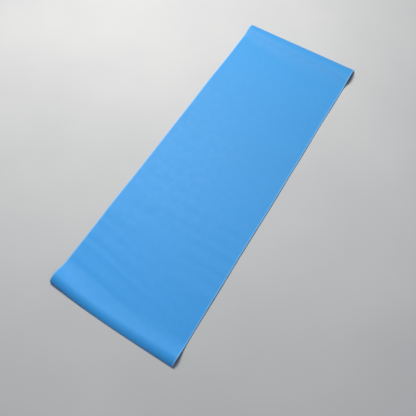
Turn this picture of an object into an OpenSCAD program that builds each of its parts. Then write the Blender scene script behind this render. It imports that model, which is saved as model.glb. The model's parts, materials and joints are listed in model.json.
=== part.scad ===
/* [Flat sheet] */
// Width of the mat, across the body lying on it
mat_width = 610; // [400:10:800]
// Length of the mat laid quite flat, measured along its upper face
mat_length = 1730; // [1600:10:2000]
// Thickness of the whole mat
mat_thickness = 4; // [3:0.5:6]
// Thickness of the upper foam coat, the rest being the base coat with its mesh
top_coat = 1.8; // [1.2:0.1:2.4]

/* [Curled near end] */
// Height of the upper face at the top of the arch, where the roll had its core
near_height = 24; // [18:1:32]
// Radius of the arch over its top
near_crest_radius = 45; // [40:1:50]
// Slope of the upper face at the very end, in degrees below level
near_end_slope = 78; // [60:1:84]
// Slope at which the crest hands over to the nose, in degrees below level
near_nose_slope = 40; // [20:1:50]

/* [Curled far end] */
// Height of the upper face at the top of the arch, where the roll had its last turn
far_height = 20; // [12:1:30]
// Slope of the upper face at the very end, in degrees below level
far_end_slope = 42; // [20:1:60]

/* [Lifting of both ends] */
// Radius of the long hollow curve by which each end leaves the floor
lift_radius = 117; // [90:1:200]

/* [Bends] */
// Number of short sections that make the curled near end
near_sections = 5; // [4:1:5]
// Number of sections that make the curled far end
far_sections = 3; // [2:1:3]
// Number of flat sections that wind into the roll
flat_sections = 21; // [16:1:21]
// Length of the flat section that stays on the floor
floor_section_length = 140; // [100:5:200]
// How much longer the outermost winding section is than the innermost one
section_growth = 30; // [22:1:34]

/* [Hidden] */
sections = near_sections + flat_sections + 1 + far_sections;

// The last arc of each end has the radius that brings the end's lower edge down to the floor.
near_nose_radius = (near_height - near_crest_radius * (1 - cos(near_nose_slope))
    - mat_thickness * cos(near_end_slope)) / (cos(near_nose_slope) - cos(near_end_slope));
far_crest_radius = (far_height - mat_thickness * cos(far_end_slope)) / (1 - cos(far_end_slope));

// An end is a chain of arcs seen from the side: it leaves the floor along the lift, goes over
// the crest and, at the near end, down the nose. Each arc is [radius, angle turned], where a
// positive angle turns the sheet upwards on the way out to the end.
function lift_angle(height, crest) =
    acos(1 - (height - mat_thickness) / (lift_radius + crest));
near_lift = lift_angle(near_height, near_crest_radius);
far_lift = lift_angle(far_height, far_crest_radius);
near_arcs = [
    [lift_radius, near_lift],
    [near_crest_radius, -near_lift - near_nose_slope],
    [near_nose_radius, near_nose_slope - near_end_slope],
];
far_arcs = [
    [lift_radius, far_lift],
    [far_crest_radius, -far_lift - far_end_slope],
];
function arc_length(arc) = arc[0] * abs(arc[1]) * PI / 180;
function total_length(arcs, i = 0) =
    i == len(arcs) ? 0 : arc_length(arcs[i]) + total_length(arcs, i + 1);
near_length = total_length(near_arcs);
far_length = total_length(far_arcs);
flat_length = mat_length - near_length - far_length;

// Place on the upper face, a distance out along a chain of arcs: [distance outwards, height,
// slope]. Each step goes along one arc, or along part of the last one.
function along(arcs, out, at = [0, mat_thickness, 0], i = 0) =
    i == len(arcs) || out <= 0 ? at :
    let (
        arc = arcs[i],
        turned = sign(arc[1]) * min(out, arc_length(arc)) / arc[0] * 180 / PI,
        side = sign(arc[1]) * arc[0],
        next = [
            at[0] + side * (sin(at[2] + turned) - sin(at[2])),
            at[1] + side * (cos(at[2]) - cos(at[2] + turned)),
            at[2] + turned
        ]
    )
    along(arcs, out - arc_length(arc), next, i + 1);

// Place on the upper face, a distance along the sheet from its near end: [y, z, slope towards
// the far end], with y counted from the fold where the near end leaves the floor.
function place(s) =
    s < near_length ? let (p = along(near_arcs, near_length - s)) [-p[0], p[1], -p[2]] :
    s < near_length + flat_length ? [s - near_length, mat_thickness, 0] :
    let (p = along(far_arcs, s - near_length - flat_length)) [flat_length + p[0], p[1], p[2]];

// The point that lies a depth under the upper face, square to the sheet.
function under(p, depth) = [p[0] + depth * sin(p[2]), p[1] - depth * cos(p[2])];

// The sheet's ends reach furthest at the nose and at the far edge, which put its middle here.
near_reach = min([for (s = [0:0.5:30]) place(s)[0]]);
far_reach = place(mat_length)[0];
middle = (near_reach + far_reach) / 2;

// The winding sections grow evenly from the core of the roll to its last turn.
mean_section = (flat_length - floor_section_length) / flat_sections;
function winding(i) = mean_section + section_growth * ((i - 0.5) / flat_sections - 0.5);
function winding_sum(n) = n == 0 ? 0 : winding(n) + winding_sum(n - 1);

// Distance from the near end to the bend that follows section i.
function bend(i) =
    i <= near_sections ? near_length * i / near_sections :
    i <= near_sections + flat_sections ? near_length + winding_sum(i - near_sections) :
    near_length + flat_length + far_length * (i - near_sections - flat_sections - 1) / far_sections;

// A curled section is drawn in short straight steps, a flat one in a single step.
step_length = 5;
function is_flat(i) = i > near_sections && i <= near_sections + flat_sections + 1;
function steps(i) = is_flat(i) ? 1 : ceil((bend(i) - bend(i - 1)) / step_length);
function stations(i) =
    [for (k = [0:steps(i)]) bend(i - 1) + (bend(i) - bend(i - 1)) * k / steps(i)];

// One layer of section i, between two depths under the upper face.
module layer(i, upper, lower) {
    s = stations(i);
    last = len(s) - 1;
    side = concat(
        [for (k = [0:last]) under(place(s[k]), upper)],
        [for (k = [last:-1:0]) under(place(s[k]), lower)]
    );
    rotate([90, 0, 90])
        linear_extrude(height = mat_width, center = true)
            translate([-middle, 0])
                polygon(side);
}

module top_coat_section(i) {
    color("dodgerblue") layer(i, 0, top_coat);
}

module base_coat_section(i) {
    color("steelblue") layer(i, top_coat, mat_thickness);
}

for (i = [1:sections]) {
    top_coat_section(i);
    base_coat_section(i);
}
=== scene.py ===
# %% [markdown]
# # A thin foam mat for floor stretching, just rolled out
#
# The object is one flat sheet of foam, 1.73 m long, 0.61 m wide and 4 mm thick. It has been kept
# rolled up, so its two short ends still curl down and stand on the floor as low arches. The arch
# is tighter at the near end, which was the core of the roll.
#
# A sheet like this could be sculpted, or dropped on the floor by a cloth simulation. Here it is
# worked out instead: every point of the foam has an address, which is how far across the sheet
# it is, how far along, and how deep under the upper face. One function turns an address into a
# place in space. All the pieces then share their borders exactly, because they ask the same
# function.

import json

import bpy
import numpy as np
from mathutils import Matrix, Vector

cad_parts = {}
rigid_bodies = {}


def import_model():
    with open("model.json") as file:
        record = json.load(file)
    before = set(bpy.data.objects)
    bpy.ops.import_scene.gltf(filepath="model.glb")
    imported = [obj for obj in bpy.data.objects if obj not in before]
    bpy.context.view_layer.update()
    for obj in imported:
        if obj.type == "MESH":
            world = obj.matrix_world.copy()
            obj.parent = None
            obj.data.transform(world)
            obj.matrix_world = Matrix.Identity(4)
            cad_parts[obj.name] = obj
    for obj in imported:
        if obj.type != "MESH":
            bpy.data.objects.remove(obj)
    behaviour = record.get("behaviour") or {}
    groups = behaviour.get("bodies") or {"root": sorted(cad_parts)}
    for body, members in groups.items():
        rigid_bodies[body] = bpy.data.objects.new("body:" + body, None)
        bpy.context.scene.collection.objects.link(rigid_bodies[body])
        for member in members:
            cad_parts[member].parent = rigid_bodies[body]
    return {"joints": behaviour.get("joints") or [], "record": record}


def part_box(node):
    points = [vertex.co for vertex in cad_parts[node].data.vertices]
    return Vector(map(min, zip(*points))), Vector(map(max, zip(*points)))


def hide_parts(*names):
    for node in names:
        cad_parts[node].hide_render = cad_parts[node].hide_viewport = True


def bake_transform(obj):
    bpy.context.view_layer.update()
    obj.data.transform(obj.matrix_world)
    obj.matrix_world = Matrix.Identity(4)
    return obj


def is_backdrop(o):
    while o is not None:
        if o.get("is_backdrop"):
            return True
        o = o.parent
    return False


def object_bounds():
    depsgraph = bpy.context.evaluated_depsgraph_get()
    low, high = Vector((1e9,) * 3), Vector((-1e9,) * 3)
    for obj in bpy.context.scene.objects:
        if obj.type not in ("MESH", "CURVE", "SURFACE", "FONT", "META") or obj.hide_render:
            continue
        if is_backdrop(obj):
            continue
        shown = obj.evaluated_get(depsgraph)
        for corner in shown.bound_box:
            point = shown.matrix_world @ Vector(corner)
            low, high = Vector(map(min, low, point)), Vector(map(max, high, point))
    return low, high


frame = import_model()
cad_low, cad_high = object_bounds()
print("the frame spans", [round(b - a, 4) for a, b in zip(cad_low, cad_high)], "m")

# %% [markdown]
# ## The sheet's own measures
#
# The frame is cut into 30 short sections joined by hinges, because rigid parts can't bend. The
# foam itself isn't cut there. The sections are needed all the same: each stretch of foam runs
# between the middles of two of them. Section 1 is at the near end and section 30 at the far
# end, and their nodes carry those numbers.

# %% Read the sections and the bends from the frame
MM = 0.001
bodies = frame["record"]["behaviour"]["bodies"]
body_of_section = {int(nodes[0].rsplit("_", 1)[1]): body for body, nodes in bodies.items()}
section_of_body = {body: number for number, body in body_of_section.items()}
section_count = len(body_of_section)
bend_place = {
    min(section_of_body[j["parent"]], section_of_body[j["child"]]): np.array(j["pos_m"])
    for j in frame["joints"]
}
width = cad_high[0] - cad_low[0]
flat_low, flat_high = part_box("top_coat_15")
thickness = flat_high[2]
top_coat = thickness - flat_low[2]
print(section_count, "sections,", len(bend_place), "bends, width", round(width, 4),
      "thickness", round(thickness, 5), "upper coat", round(top_coat, 5))

# %% [markdown]
# ## How the two ends curl
#
# Seen from the side, an end leaves the floor along a wide hollow curve and goes over a crest.
# The near end then drops down a tight nose. Foam keeps its thickness and length as it bends, so
# arcs of circles, laid end to end, describe it well. The last arc gets the radius that brings
# the sheet's lower edge down to the floor.
#
# A real mat never curls the same right across. The heights, the radii of the hollow curves and
# the slope of the near edge are therefore given three times, for the left edge, the middle and
# the right edge, and grow from one to the other.

# %% Arcs of the near and the far end
LENGTH = 1.730
NEAR_SECTIONS = 5
FAR_SECTIONS = 3
NEAR_CURL = 0.1278
FAR_SECTION_LENGTH = 0.042
near_height = (0.0277, 0.0147, 0.0200)
near_end_slope = (101, 78, 80)
near_lift_radius = (0.117, 0.280, 0.140)
near_crest_radius = 0.045
near_nose_slope = np.radians(40)
far_height = (0.0181, 0.0225, 0.0265)
far_end_slope = np.radians(42)
far_lift_radius = (0.117, 0.220, 0.117)


def across(u, values, late=2.0):
    """Value at a distance u from the middle line, out of three given at the left edge, in the
    middle and at the right edge: middle + (edge - middle) * |2u / width| ** late."""
    left, middle, right = values
    edge = np.where(u < 0, left, right)
    return middle + (edge - middle) * np.abs(2 * u / width) ** late


def near_arcs(u):
    """Radius and angle turned of the lift, the crest and the nose. The nose radius is what is
    left of the height after the crest, divided by how much the cosine changes over the nose.
    Past upright it is the upper face whose edge stands on the floor, so the thickness drops out."""
    height = across(u, near_height)
    end_slope = np.radians(across(u, near_end_slope))
    crest_drop = near_crest_radius * (1 - np.cos(near_nose_slope))
    nose_drop = height - crest_drop - thickness * np.cos(np.minimum(end_slope, np.pi / 2))
    nose_radius = nose_drop / (np.cos(near_nose_slope) - np.cos(end_slope))
    lift_radius = across(u, near_lift_radius)
    lift = np.arccos(1 - (height - thickness) / (lift_radius + near_crest_radius))
    return [
        (lift_radius, lift),
        (near_crest_radius, -lift - near_nose_slope),
        (nose_radius, near_nose_slope - end_slope),
    ]


def far_arcs(u):
    """Radius and angle turned of the lift and the crest of the far end, which has no nose."""
    height = across(u, far_height)
    crest_radius = (height - thickness * np.cos(far_end_slope)) / (1 - np.cos(far_end_slope))
    lift_radius = across(u, far_lift_radius)
    lift = np.arccos(1 - (height - thickness) / (lift_radius + crest_radius))
    return [(lift_radius, lift), (crest_radius, -lift - far_end_slope)]


def arcs_length(arcs):
    """Sum of radius times angle."""
    return sum(np.abs(radius * turn) for radius, turn in arcs)


def along_arcs(arcs, out):
    """Distance outwards, height and slope after going a way out along a chain of arcs. Each arc
    adds radius * (sine after - sine before) outwards and radius * (cosine before - cosine
    after) upwards, with the radius taken negative where the sheet turns down."""
    y = np.zeros_like(out)
    z = np.full_like(out, thickness)
    slope = np.zeros_like(out)
    for radius, turn in arcs:
        turned = np.sign(turn) * np.clip(out, 0, np.abs(radius * turn)) / radius
        side = np.sign(turn) * radius
        y = y + side * (np.sin(slope + turned) - np.sin(slope))
        z = z + side * (np.cos(slope) - np.cos(slope + turned))
        slope = slope + turned
        out = out - np.abs(radius * turn)
    return y, z, slope


laid_start = bend_place[NEAR_SECTIONS][1] - NEAR_CURL


def smooth_line(u, s):
    """y, z and slope of the upper face at u across and s along, before any dent."""
    near = along_arcs(near_arcs(u), arcs_length(near_arcs(u)) - s)
    far = along_arcs(far_arcs(u), s - LENGTH + arcs_length(far_arcs(u)))
    near_foot = laid_start + arcs_length(near_arcs(u))
    far_foot = laid_start + LENGTH - arcs_length(far_arcs(u))
    y = np.clip(laid_start + s, near_foot, far_foot) - near[0] + far[0]
    return y, near[1] + far[1] - thickness, far[2] - near[2]


for side, u in (("left", -width / 2), ("middle", 0.0), ("right", width / 2)):
    edge = np.full(2, u)
    print(side, "near and far curl take",
          (arcs_length(near_arcs(edge))[0] / MM).round(1),
          (arcs_length(far_arcs(edge))[0] / MM).round(1), "mm of the sheet")

# %% [markdown]
# ## Dents, ripples and a hand-cut outline
#
# A foam sheet that comes off a roll isn't a plane. It keeps faint ripples across it, where the
# turns of the roll pressed on each other, a few soft dents left by fingers, and long edges that
# wander by about a millimetre. These are real bends of the whole sheet, so they go into the
# shape and not into the paint: they then catch the light by themselves, from any side.

# %% Off-floor height of the sheet, and the line of its edges
RIPPLE_PITCH = 0.061
RIPPLE_HEIGHT = 0.90 * MM
SWELL_HEIGHT = 0.5 * MM
RIM_HEIGHT = 0.8 * MM
CORNER_RADIUS = 0.004
FAR_LEFT_CORNER_RADIUS = 0.012
dents = [
    # across, along, how wide across, how long, how deep
    (-0.225, 1.20, 0.030, 0.018, 2.0),
    (-0.217, 0.82, 0.034, 0.020, 2.1),
    (-0.170, 0.54, 0.030, 0.018, 2.2),
    (-0.190, 0.42, 0.045, 0.015, 1.9),
    (0.130, 0.62, 0.055, 0.016, 1.4),
    (0.060, 0.98, 0.050, 0.018, 1.1),
    (0.190, 0.30, 0.040, 0.016, 1.4),
]


def bell(x):
    """A soft bump: 1 in the middle, falling to 0, as e to the minus x squared."""
    return np.exp(-x * x)


def off_floor(u, s):
    """How far the sheet stands off its smooth line, never negative: ripples that fade towards
    the far end, slow swells, and dents that each press a hollow into a wide low swell."""
    slant = s + 0.06 * u + 0.012 * np.sin(9 * u + 4 * s)
    beat = 0.6 * np.sin(2 * np.pi * slant / RIPPLE_PITCH / 1.7 + 3 * u)
    ripple = 0.5 + 0.5 * np.sin(2 * np.pi * slant / RIPPLE_PITCH + beat)
    strength = bell((s - 0.36) / 0.34) * (0.55 + 0.45 * np.sin(7 * u + 11 * s + 0.8))
    swell = 0.5 + 0.5 * np.sin(2 * np.pi * (s / 0.37 + 0.35 * u / width) + 1.1)
    rim = (2 * np.abs(u) / width) ** 6 * (0.5 + 0.5 * np.sin(2 * np.pi * s / 0.29 + 5 * u))
    height = RIPPLE_HEIGHT * ripple * strength + SWELL_HEIGHT * swell + RIM_HEIGHT * rim
    for at_u, at_s, wide, long, deep in dents:
        x, y = (u - at_u) / wide, (s - at_s) / long
        height = height + deep * MM * (bell(np.hypot(x, y) / 2.2) - 0.55 * bell(np.hypot(x, y)))
    return height


def edge_line(s, side):
    """x of the cut edge: half the width, plus two slow waves, less the rounding of the corner.
    The far left corner is rounded more than the others."""
    wander = 0.7 * np.sin(2 * np.pi * s / 0.83 + 1.3 * side) + 0.4 * np.sin(17 * s + side)
    far_corner = FAR_LEFT_CORNER_RADIUS if side < 0 else CORNER_RADIUS
    corner = np.where(s > LENGTH / 2, far_corner, CORNER_RADIUS)
    from_end = np.minimum(s, LENGTH - s)
    inside = np.clip(corner - from_end, 0, corner)
    rounding = corner - np.sqrt(corner * corner - inside * inside)
    return side * (width / 2 + wander * MM - rounding)


def foam_place(u, s, depth):
    """Place in space of an address: u across, s along, depth under the upper face. The point
    goes from the smooth line along the sheet's own upright, by off_floor less the depth."""
    y, z, slope = smooth_line(u, s)
    out = off_floor(u, s) - depth
    half = width / 2
    x = np.where(u < 0, -edge_line(s, -1), edge_line(s, 1)) * u / half
    return np.stack([x, y - out * np.sin(slope), z + out * np.cos(slope)], axis=-1)


probe = foam_place(*np.meshgrid(np.linspace(-width / 2, width / 2, 61),
                                np.linspace(0, LENGTH, 400)), 0.0)
print("upper face spans", probe.reshape(-1, 3).min(0).round(4), probe.reshape(-1, 3).max(0).round(4))

# %% [markdown]
# ## Where one stretch of foam ends and the next begins
#
# Each stretch runs between the middles of two neighbouring sections, across the hinge between
# them. The border between two stretches therefore lies in the middle of a section, on the plane
# that stands square to that section. The border is found by sliding each point along the sheet
# until it lies on that plane. Near the curled ends the border isn't a straight line in the sheet,
# because the curl differs from left to right.

# %% Middles of the sections, and the border curves
SLIDES = 12
middle_place = {
    i: (bend_place[i - 1] + bend_place[i]) / 2 for i in range(2, section_count)
}
for i in (1, section_count):
    low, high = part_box(f"top_coat_{i}")
    middle_place[i] = np.array([0.0, (low[1] + high[1]) / 2, (low[2] + high[2]) / 2])


def border(i, u):
    """Distance along the sheet, at each u, of the plane through the middle of section i that
    stands square to the line between its two hinges."""
    square = bend_place[i] - bend_place[i - 1]
    square = square / np.linalg.norm(square)
    if i <= NEAR_SECTIONS:
        s = np.full_like(u, NEAR_CURL * (i - 0.5) / NEAR_SECTIONS)
    elif i <= section_count - FAR_SECTIONS:
        s = np.full_like(u, middle_place[i][1] - laid_start)
    else:
        s = np.full_like(u, LENGTH - FAR_SECTION_LENGTH * (section_count - i + 0.5))
    for _ in range(SLIDES):
        s = s - (foam_place(u, s, 0.0) - middle_place[i]) @ square
    return s


for i in (2, 5, 15, 29):
    line = border(i, np.linspace(-width / 2, width / 2, 5))
    print("border", i, "runs at", (line / MM).round(1), "mm from the near end")

# %% [markdown]
# ## One closed slab of foam
#
# Every stretch of every layer is a slab: a grid of points on its upper face, the same grid on
# its lower face, and a strip of faces round the side, so that it is closed and has its real
# thickness. The grid is closer near the borders and the cut edges, where the shading has to
# meet its neighbour without a line and the cut foam has a tiny round.
#
# Each point also remembers its address in the flat sheet and its distance from the nearest cut
# edge. The materials read these, so their grain stays on the foam when it bends.

# %% Grid lines and the slab builder
CUT_ROUND = 0.0006
edge_steps = np.array([0, 0.1, 0.3, 0.6, 1.5, 3.0, 6.0]) * MM
border_steps = np.array([0, 0.8, 2.4]) * MM
INNER_LINES = 74
INNER_INSET = 0.012


def lines_across():
    """u of the grid lines: seven close to each cut edge, and the rest about 8 mm apart."""
    half = width / 2
    inner = np.linspace(-half + INNER_INSET, half - INNER_INSET, INNER_LINES)
    return np.concatenate([-half + edge_steps, inner, half - edge_steps[::-1]])


def shares_along(length, step, first_is_end, last_is_end):
    """Grid lines of a stretch as shares of its length, from 0 to 1: close together at both
    borders and closer still where the stretch ends in a cut edge."""
    near = edge_steps if first_is_end else border_steps
    far = edge_steps if last_is_end else border_steps
    count = max(3, int(round((length - near[-1] - far[-1]) / step)) + 1)
    inner = np.linspace(near[-1], length - far[-1], count)[1:-1]
    return np.concatenate([near, inner, length - far[::-1]]) / length


def grid_faces(rows, columns, first):
    """Corner numbers of all the quads of a grid whose points start at the number first."""
    corner = (np.arange(rows - 1)[:, None] * columns + np.arange(columns - 1)).ravel() + first
    return np.stack([corner, corner + 1, corner + columns + 1, corner + columns], axis=1)


def from_cut(u, s):
    """Distance from an address to the nearest cut edge of the sheet."""
    return np.minimum(np.minimum(width / 2 - np.abs(u), s), LENGTH - s)


def slab(name, u, s, upper, lower, skins):
    """A closed slab between two depths under the upper face. u and s are grids of addresses,
    upper and lower the depths on them. skins are the materials of the faces and of the cuts."""
    rows, columns = u.shape
    count = rows * columns
    upper_grid, lower_grid = foam_place(u, s, upper), foam_place(u, s, lower)
    points = np.concatenate([upper_grid.reshape(-1, 3), lower_grid.reshape(-1, 3)])
    top = grid_faces(rows, columns, 0)
    bottom = grid_faces(rows, columns, count)[:, ::-1]
    number = np.arange(count).reshape(rows, columns)
    rims = [number[0], number[:, -1], number[-1, ::-1], number[::-1, 0]]
    sides = [
        np.stack([rim[:-1] + count, rim[1:] + count, rim[1:], rim[:-1]], axis=1) for rim in rims
    ]
    faces = np.concatenate([top, bottom, *sides])
    mesh = bpy.data.meshes.new(name)
    mesh.from_pydata(points, [], faces)
    mesh.polygons.foreach_set(
        "material_index", np.arange(len(faces)) >= len(top) + len(bottom)
    )
    address = np.stack([u, s, -(upper + 0 * u)], axis=-1).reshape(-1, 3)
    below = np.stack([u, s, -(lower + 0 * u)], axis=-1).reshape(-1, 3)
    note = mesh.attributes.new("address", "FLOAT_VECTOR", "POINT")
    note.data.foreach_set("vector", np.concatenate([address, below]).astype(np.float32).ravel())
    from_edge = from_cut(u, s).ravel()
    note = mesh.attributes.new("from_edge", "FLOAT", "POINT")
    note.data.foreach_set("value", np.concatenate([from_edge, from_edge]).astype(np.float32))
    for skin in skins:
        mesh.materials.append(skin)
    mesh.shade_smooth()
    mesh.set_sharp_from_angle(angle=np.radians(50))
    mesh.validate()
    piece = bpy.data.objects.new(name, mesh)
    bpy.context.scene.collection.objects.link(piece)
    return piece


def cut_round(u, s, radius):
    """How far the face sinks next to a cut edge: a quarter circle of the given radius."""
    inside = np.clip(radius - from_cut(u, s), 0, radius)
    return radius - np.sqrt(radius * radius - inside * inside)


print(len(lines_across()), "grid lines across the sheet")

# %% [markdown]
# ## The smooth foam skin
#
# The upper face is the foam's own cast skin: matte, a little silky, sky blue. What keeps it from
# looking like plastic sheet is small: the colour shifts a little from the near end to the far
# end, which is painted light for the change of light and sheen along the mat, it is mottled at
# the size of a fingertip, the skin has an orange-peel grain of a few millimetres with fine pores
# in it, and a painted highlight makes it paler in the last few millimetres before a cut edge.
# The colour of a real foam is in the whole coat, so the same blue is used for the cut, only
# paler and rougher.

# %% Node helpers and the skin
def node(tree, kind, inputs=None, **settings):
    """A new node with its settings made and its input sockets filled or wired."""
    made = tree.nodes.new(kind)
    for key, value in settings.items():
        setattr(made, key, value)
    for key, value in (inputs or {}).items():
        if isinstance(value, bpy.types.NodeSocket):
            tree.links.new(value, made.inputs[key])
        else:
            made.inputs[key].default_value = value
    return made


def start_material(name, roughness, specular, sheen):
    """A material, its node tree, its shader, and the socket that gives the foam's address."""
    material = bpy.data.materials.new(name)
    material.use_nodes = True
    tree = material.node_tree
    shader = tree.nodes["Principled BSDF"]
    shader.inputs["Roughness"].default_value = roughness
    shader.inputs["Specular IOR Level"].default_value = specular
    shader.inputs["Sheen Weight"].default_value = sheen
    shader.inputs["Sheen Roughness"].default_value = 0.45
    address = node(tree, "ShaderNodeAttribute", attribute_name="address").outputs["Vector"]
    return material, tree, shader, address


def noise(tree, address, per_metre, detail=2.0):
    """Cloudy noise, from 0 to 1, with that many clouds to the metre."""
    inputs = {"Vector": address, "Scale": per_metre, "Detail": detail}
    return node(tree, "ShaderNodeTexNoise", inputs).outputs["Fac"]


def between(tree, value, low, high, from_low=0.3, from_high=0.7):
    """The value stretched from one range to another."""
    inputs = {0: value, 1: from_low, 2: from_high, 3: low, 4: high}
    return node(tree, "ShaderNodeMapRange", inputs).outputs[0]


def mix(tree, share, one, other, way="MIX"):
    """Two colours mixed, or one multiplied by the other."""
    made = node(tree, "ShaderNodeMix", data_type="RGBA", blend_type=way)
    for key, value in ((0, share), (6, one), (7, other)):
        if isinstance(value, bpy.types.NodeSocket):
            tree.links.new(value, made.inputs[key])
        else:
            made.inputs[key].default_value = value if key == 0 else (*value, 1)
    return made.outputs[2]


def maths(tree, operation, *values):
    """One step of arithmetic on the given values, such as MULTIPLY or SINE."""
    return node(tree, "ShaderNodeMath", dict(enumerate(values)), operation=operation).outputs[0]


def shaded(tree, colour, factor):
    """A colour made darker or lighter by a factor."""
    grey = node(tree, "ShaderNodeCombineColor", {0: factor, 1: factor, 2: factor}).outputs[0]
    return mix(tree, 1.0, colour, grey, "MULTIPLY")


def bump(tree, height, depth, over=None):
    """A bump of that real depth in metres, on top of another one."""
    made = node(tree, "ShaderNodeBump", {"Height": height, "Distance": depth, "Strength": 1.0})
    if over is not None:
        tree.links.new(over, made.inputs["Normal"])
    return made.outputs["Normal"]


def painted_light_and_mottle(tree, address, near_lit_colour, far_lit_colour):
    """Foam colour with painted light: it shifts from the near end colour to the far end colour along
    a cloudy front, for the change of light and sheen along the mat, with mottling and a fine
    speckle over it."""
    along = node(tree, "ShaderNodeSeparateXYZ", {0: address}).outputs["Y"]
    # painted light: the blue shifts along the sheet from the near end colour to the far end colour
    front = maths(tree, "MULTIPLY_ADD", noise(tree, address, 2.6), 0.5, along)
    colour = mix(tree, between(tree, front, 0.0, 1.0, 0.45, 1.25), near_lit_colour, far_lit_colour)
    mottle = between(tree, noise(tree, address, 48.0, 3.0), 0.982, 1.012)
    speckle = between(tree, noise(tree, address, 1100.0, 1.0), 0.97, 1.02)
    return shaded(tree, colour, maths(tree, "MULTIPLY", mottle, speckle))


def foam_skin():
    """Sky blue cast skin with pores, orange-peel grain, painted light along the sheet and a painted
    highlight along the cut edges.
    """
    material, tree, shader, address = start_material(
        "foam_skin", roughness=0.6, specular=0.32, sheen=0.10
    )
    # painted light: the skin's blue shifts from the near end to the far end
    colour = painted_light_and_mottle(tree, address, (0.041, 0.333, 0.795), (0.044, 0.296, 0.672))
    from_edge = node(tree, "ShaderNodeAttribute", attribute_name="from_edge").outputs["Fac"]
    # painted highlight: the skin turns paler in the last 7 mm before each cut edge
    painted_edge_highlight = between(tree, from_edge, 0.75, 0.0, 0.0006, 0.0070)
    colour = mix(tree, painted_edge_highlight, colour, (0.20, 0.54, 0.93))
    tree.links.new(colour, shader.inputs["Base Color"])
    rough = between(tree, noise(tree, address, 26.0), 0.58, 0.63)
    tree.links.new(rough, shader.inputs["Roughness"])
    peel = bump(tree, noise(tree, address, 230.0, 1.0), 0.00012)
    pores = node(tree, "ShaderNodeTexVoronoi", {"Vector": address, "Scale": 1500.0})
    pore_height = between(tree, pores.outputs["Distance"], 0, 1, 0, 0.5)
    grain = bump(tree, pore_height, 0.00005, over=peel)
    tree.links.new(grain, shader.inputs["Normal"])
    return material


skin = foam_skin()
print("skin made with", len(skin.node_tree.nodes), "nodes")

# %% [markdown]
# ## The underside, the cut and the mesh
#
# The underside has to grip the floor. Its coat is cast against a belt with a fine pattern of
# rounded bars, woven over and under like a basket, about 5 mm to the repeat. Two sine waves
# multiplied give it: one runs along the sheet and one across it. It is too fine to be worth
# modelling, so it is a bump, with painted shade in its valleys and a little painted light on
# the tops of the bars.
#
# The cut edge shows what the sheet is made of: small open cells of pale foam, and half way down
# a fine light line where the threads of the polyester mesh end.

# %% Underside, cut foam and mesh threads
GRIP_PITCH = 0.0052
THREAD_PITCH = 0.0014


def waves(tree, address, axis, pitch):
    """A sine wave along one axis of the flat sheet, from -1 to 1, with that pitch in metres."""
    part = node(tree, "ShaderNodeSeparateXYZ", {0: address}).outputs[axis]
    angle = maths(tree, "MULTIPLY", part, 2 * np.pi / pitch)
    return maths(tree, "SINE", angle)


def grip_skin():
    """Deeper blue skin with a moulded basket grain of rounded bars, painted shade in its valleys and
    painted light along the sheet.
    """
    material, tree, shader, address = start_material(
        "grip_skin", roughness=0.66, specular=0.38, sheen=0.10
    )
    # painted light: the underside's blue shifts from the near end to the far end
    colour = painted_light_and_mottle(tree, address, (0.048, 0.262, 0.640), (0.052, 0.238, 0.560))
    along = waves(tree, address, "Y", GRIP_PITCH)
    over = waves(tree, address, "X", GRIP_PITCH)
    basket = maths(tree, "MULTIPLY", along, over)
    height = between(tree, basket, 0.0, 1.0, -0.75, 0.75)
    # painted shade: the valleys of the grain are darkened and the tops of the bars lightened a
    # little
    shade = between(tree, height, 0.80, 1.04, 0.0, 1.0)
    tree.links.new(shaded(tree, colour, shade), shader.inputs["Base Color"])
    rough = between(tree, noise(tree, address, 30.0), 0.6, 0.74)
    tree.links.new(rough, shader.inputs["Roughness"])
    pattern = bump(tree, height, 0.0005)
    grain = bump(tree, noise(tree, address, 1400.0, 1.0), 0.00006, over=pattern)
    tree.links.new(grain, shader.inputs["Normal"])
    return material


def cut_foam(name, deep, pale):
    """Open cells of about 0.4 mm on a knife-cut face: painted shade in the hollows between pale
    walls.
    """
    material, tree, shader, address = start_material(
        name, roughness=0.82, specular=0.25, sheen=0.15
    )
    cells = node(tree, "ShaderNodeTexVoronoi", {"Vector": address, "Scale": 2300.0})
    # painted shade: the middles of the cells take the deeper colour, the walls the pale one
    wall = between(tree, cells.outputs["Distance"], 0.0, 1.0, 0.1, 0.6)
    tree.links.new(mix(tree, wall, deep, pale), shader.inputs["Base Color"])
    tree.links.new(between(tree, wall, 0.9, 0.74, 0.0, 1.0), shader.inputs["Roughness"])
    tree.links.new(bump(tree, wall, 0.0002), shader.inputs["Normal"])
    return material


def mesh_threads():
    """Pale polyester threads, 1.4 mm apart both ways, in the blue of the foam between them."""
    material, tree, shader, address = start_material(
        "mesh_threads", roughness=0.5, specular=0.5, sheen=0.25
    )
    along = waves(tree, address, "Y", THREAD_PITCH)
    over = waves(tree, address, "X", THREAD_PITCH)
    thread = maths(tree, "MAXIMUM", along, over)
    share = between(tree, thread, 0.0, 1.0, 0.1, 0.7)
    colour = mix(tree, share, (0.10, 0.34, 0.66), (0.50, 0.68, 0.86))
    fleck = between(tree, noise(tree, address, 700.0), 0.9, 1.05)
    tree.links.new(shaded(tree, colour, fleck), shader.inputs["Base Color"])
    tree.links.new(bump(tree, share, 0.0001), shader.inputs["Normal"])
    return material


grip = grip_skin()
# the first colour of each cut is the painted shade in the cell hollows, the second the cell walls
upper_cut = cut_foam("upper_cut", (0.07, 0.30, 0.66), (0.20, 0.53, 0.92))
base_cut = cut_foam("base_cut", (0.05, 0.24, 0.56), (0.16, 0.44, 0.82))
threads = mesh_threads()
print("made", [m.name for m in (grip, upper_cut, base_cut, threads)])
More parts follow.
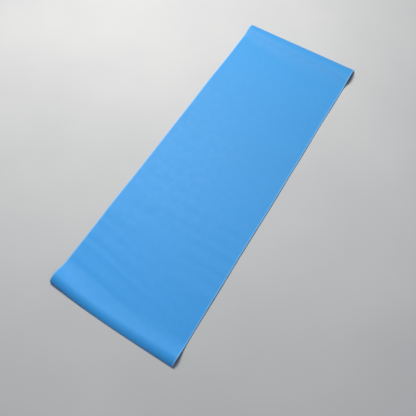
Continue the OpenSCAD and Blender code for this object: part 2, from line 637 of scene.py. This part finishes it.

# %% [markdown]
# ## Three layers, stretch by stretch
#
# The sheet is a laminate of an upper foam coat, the polyester mesh and a base coat. Each layer
# is built in 29 stretches, one for each bend. The first and the last stretch run on to the ends
# of the sheet. Each stretch of a coat hides the frame's nodes that it stands for.

# %% Build the stretches and hide the frame's parts they stand for
MESH_DEPTH = 0.0003
CURLED_STEP = 0.0026
FLAT_STEP = 0.0062
LAYERS = [
    # name, upper depth, lower depth, skins of faces and cuts, slot, nodes it stands for
    ("upper_foam", 0.0, top_coat, (skin, upper_cut), "upper_foam", "top_coat"),
    ("polyester_mesh", top_coat, top_coat + MESH_DEPTH, (threads, threads), "base_foam", None),
    ("base_foam", top_coat + MESH_DEPTH, thickness, (grip, base_cut), "base_foam", "base_coat"),
]
last_bend = section_count - 1
u_lines = lines_across()
borders = {i: border(i, u_lines) for i in range(2, section_count)}
borders[1] = 0 * u_lines
borders[section_count] = 0 * u_lines + LENGTH


def stretch(layer, k):
    """One layer of the stretch that bends at hinge k, between the borders in the middles of
    sections k and k + 1."""
    name, upper, lower, skins, slot, cad_name = layer
    start, end = borders[k], borders[k + 1]
    length = float((end - start).mean())
    curled = k <= NEAR_SECTIONS or k >= section_count - FAR_SECTIONS
    step = CURLED_STEP if curled else FLAT_STEP
    share = shares_along(length, step, k == 1, k == last_bend)
    s = start + share[:, None] * (end - start)
    u = u_lines + 0 * s
    upper_depth = upper + (cut_round(u, s, CUT_ROUND) if upper == 0 else 0)
    lower_depth = lower - (cut_round(u, s, CUT_ROUND / 2) if lower == thickness else 0)
    piece = slab(f"{name}_{k}", u, s, upper_depth, lower_depth, skins)
    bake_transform(piece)
    if cad_name:
        stood_for = [k, k + 1] if k == last_bend else [k]
        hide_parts(*[f"{cad_name}_{i}" for i in stood_for])
    return piece, length


stretches = {}
for layer in LAYERS:
    for k in range(1, last_bend + 1):
        stretches[layer[0], k] = stretch(layer, k)
faces = sum(len(piece.data.polygons) for piece, _ in stretches.values())
total = sum(length for (name, _), (_, length) in stretches.items() if name == "base_foam")
print(len(stretches), "pieces,", faces, "faces; the stretches add up to", round(total, 4), "m")

# %% [markdown]
# ## Floor and light
#
# The floor is plain and pale. A foam mat is read by its soft shading, so the light is one large
# soft window, high up beyond the far left corner: slopes that face the near end then fall into
# shade, and each lifted edge throws a soft shadow to the near right. A pale, slightly blue
# surround keeps the shaded slopes blue and not black.

# %% Floor, studio light and the surround
def soft_light(name, place, aim, size, power, colour):
    """A square soft light at a place, aimed at a point."""
    lamp = bpy.data.lights.new(name, "AREA")
    lamp.size = size
    lamp.energy = power
    lamp.color = colour
    holder = bpy.data.objects.new(name, lamp)
    toward = np.array(aim) - np.array(place)
    holder.rotation_euler = Vector(toward.tolist()).to_track_quat("-Z", "Y").to_euler()
    holder.location = place
    bpy.context.scene.collection.objects.link(holder)
    return holder


def floor_paint():
    """Pale matte floor with a faint cloudiness and a fine tooth."""
    material = bpy.data.materials.new("floor_paint")
    material.use_nodes = True
    tree = material.node_tree
    shader = tree.nodes["Principled BSDF"]
    place = node(tree, "ShaderNodeTexCoord").outputs["Object"]
    cloud = between(tree, noise(tree, place, 1.7, 3.0), 0.0, 1.0)
    colour = mix(tree, cloud, (0.52, 0.52, 0.53), (0.56, 0.56, 0.565))
    tree.links.new(colour, shader.inputs["Base Color"])
    shader.inputs["Roughness"].default_value = 0.95
    shader.inputs["Specular IOR Level"].default_value = 0.2
    tree.links.new(bump(tree, noise(tree, place, 600.0), 0.0002), shader.inputs["Normal"])
    return material


HALF_FLOOR = 25.0
FLOOR_DROP = 0.0003
floor_mesh = bpy.data.meshes.new("floor")
floor_signs = ((-1, -1), (1, -1), (1, 1), (-1, 1))
corners = [(x * HALF_FLOOR, y * HALF_FLOOR, -FLOOR_DROP) for x, y in floor_signs]
floor_mesh.from_pydata(corners, [], [(0, 1, 2, 3)])
floor_mesh.materials.append(floor_paint())
floor = bpy.data.objects.new("floor", floor_mesh)
bpy.context.scene.collection.objects.link(floor)
floor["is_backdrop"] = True

soft_light(
    "window", place=(-1.5, 1.15, 2.9), aim=(0, 0.1, 0), size=1.5, power=140,
    colour=(1.0, 0.985, 0.93),
)
surround = bpy.data.worlds.new("surround")
surround.use_nodes = True
background = surround.node_tree.nodes["Background"]
background.inputs["Color"].default_value = (0.84, 0.93, 1.12, 1)
background.inputs["Strength"].default_value = 0.22
bpy.context.scene.world = surround
bpy.context.scene.view_settings.view_transform = "Standard"

# %% [markdown]
# ## Where it is seen from
#
# A person standing beside the near right corner looks down along the mat: the camera is 1.7 m
# up, turned 31 degrees to the left of the mat's length, and tilted down steeply. A tiny shift
# centres the view without turning the camera.

# %% Camera
def look_from(place, azimuth, down, roll, lens):
    """Camera at a place. Azimuth turns from +Y towards +X, down is below level and roll turns
    the view, all in degrees. The lens is in millimetres."""
    azimuth, down, roll = np.radians([azimuth, down, roll])
    ahead = np.array([
        np.sin(azimuth) * np.cos(down), np.cos(azimuth) * np.cos(down), -np.sin(down)
    ])
    right = np.cross(ahead, [0, 0, 1])
    right = right / np.linalg.norm(right)
    below = np.cross(ahead, right)
    across_view = np.cos(roll) * right + np.sin(roll) * below
    down_view = np.cos(roll) * below - np.sin(roll) * right
    turned = Matrix(np.stack([across_view, -down_view, -ahead], axis=1).tolist())
    camera = bpy.data.objects.new("camera", bpy.data.cameras.new("camera"))
    camera.data.lens = lens
    camera.data.sensor_width = 36.0
    camera.matrix_world = Matrix.Translation(place) @ turned.to_4x4()
    bpy.context.scene.collection.objects.link(camera)
    return camera


camera = look_from(
    (0.4816, -0.8910, 1.7233), azimuth=-31.266, down=65.50, roll=-0.466, lens=36.80
)
camera.data.shift_x = -0.0017
camera.data.shift_y = 0.0006
bpy.context.scene.camera = camera

# %% [markdown]
# ## How large the finished mat is
#
# The box round the foam is written down beside the box round the frame. The two differ by a few
# millimetres, because the frame's sections are straight across and the foam isn't: its near
# curl stands taller at the left edge, and reaches further out in the middle, where it is low.

# %% Sizes, then the end
low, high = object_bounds()
print("visual model spans", [round(b - a, 4) for a, b in zip(low, high)], "m")
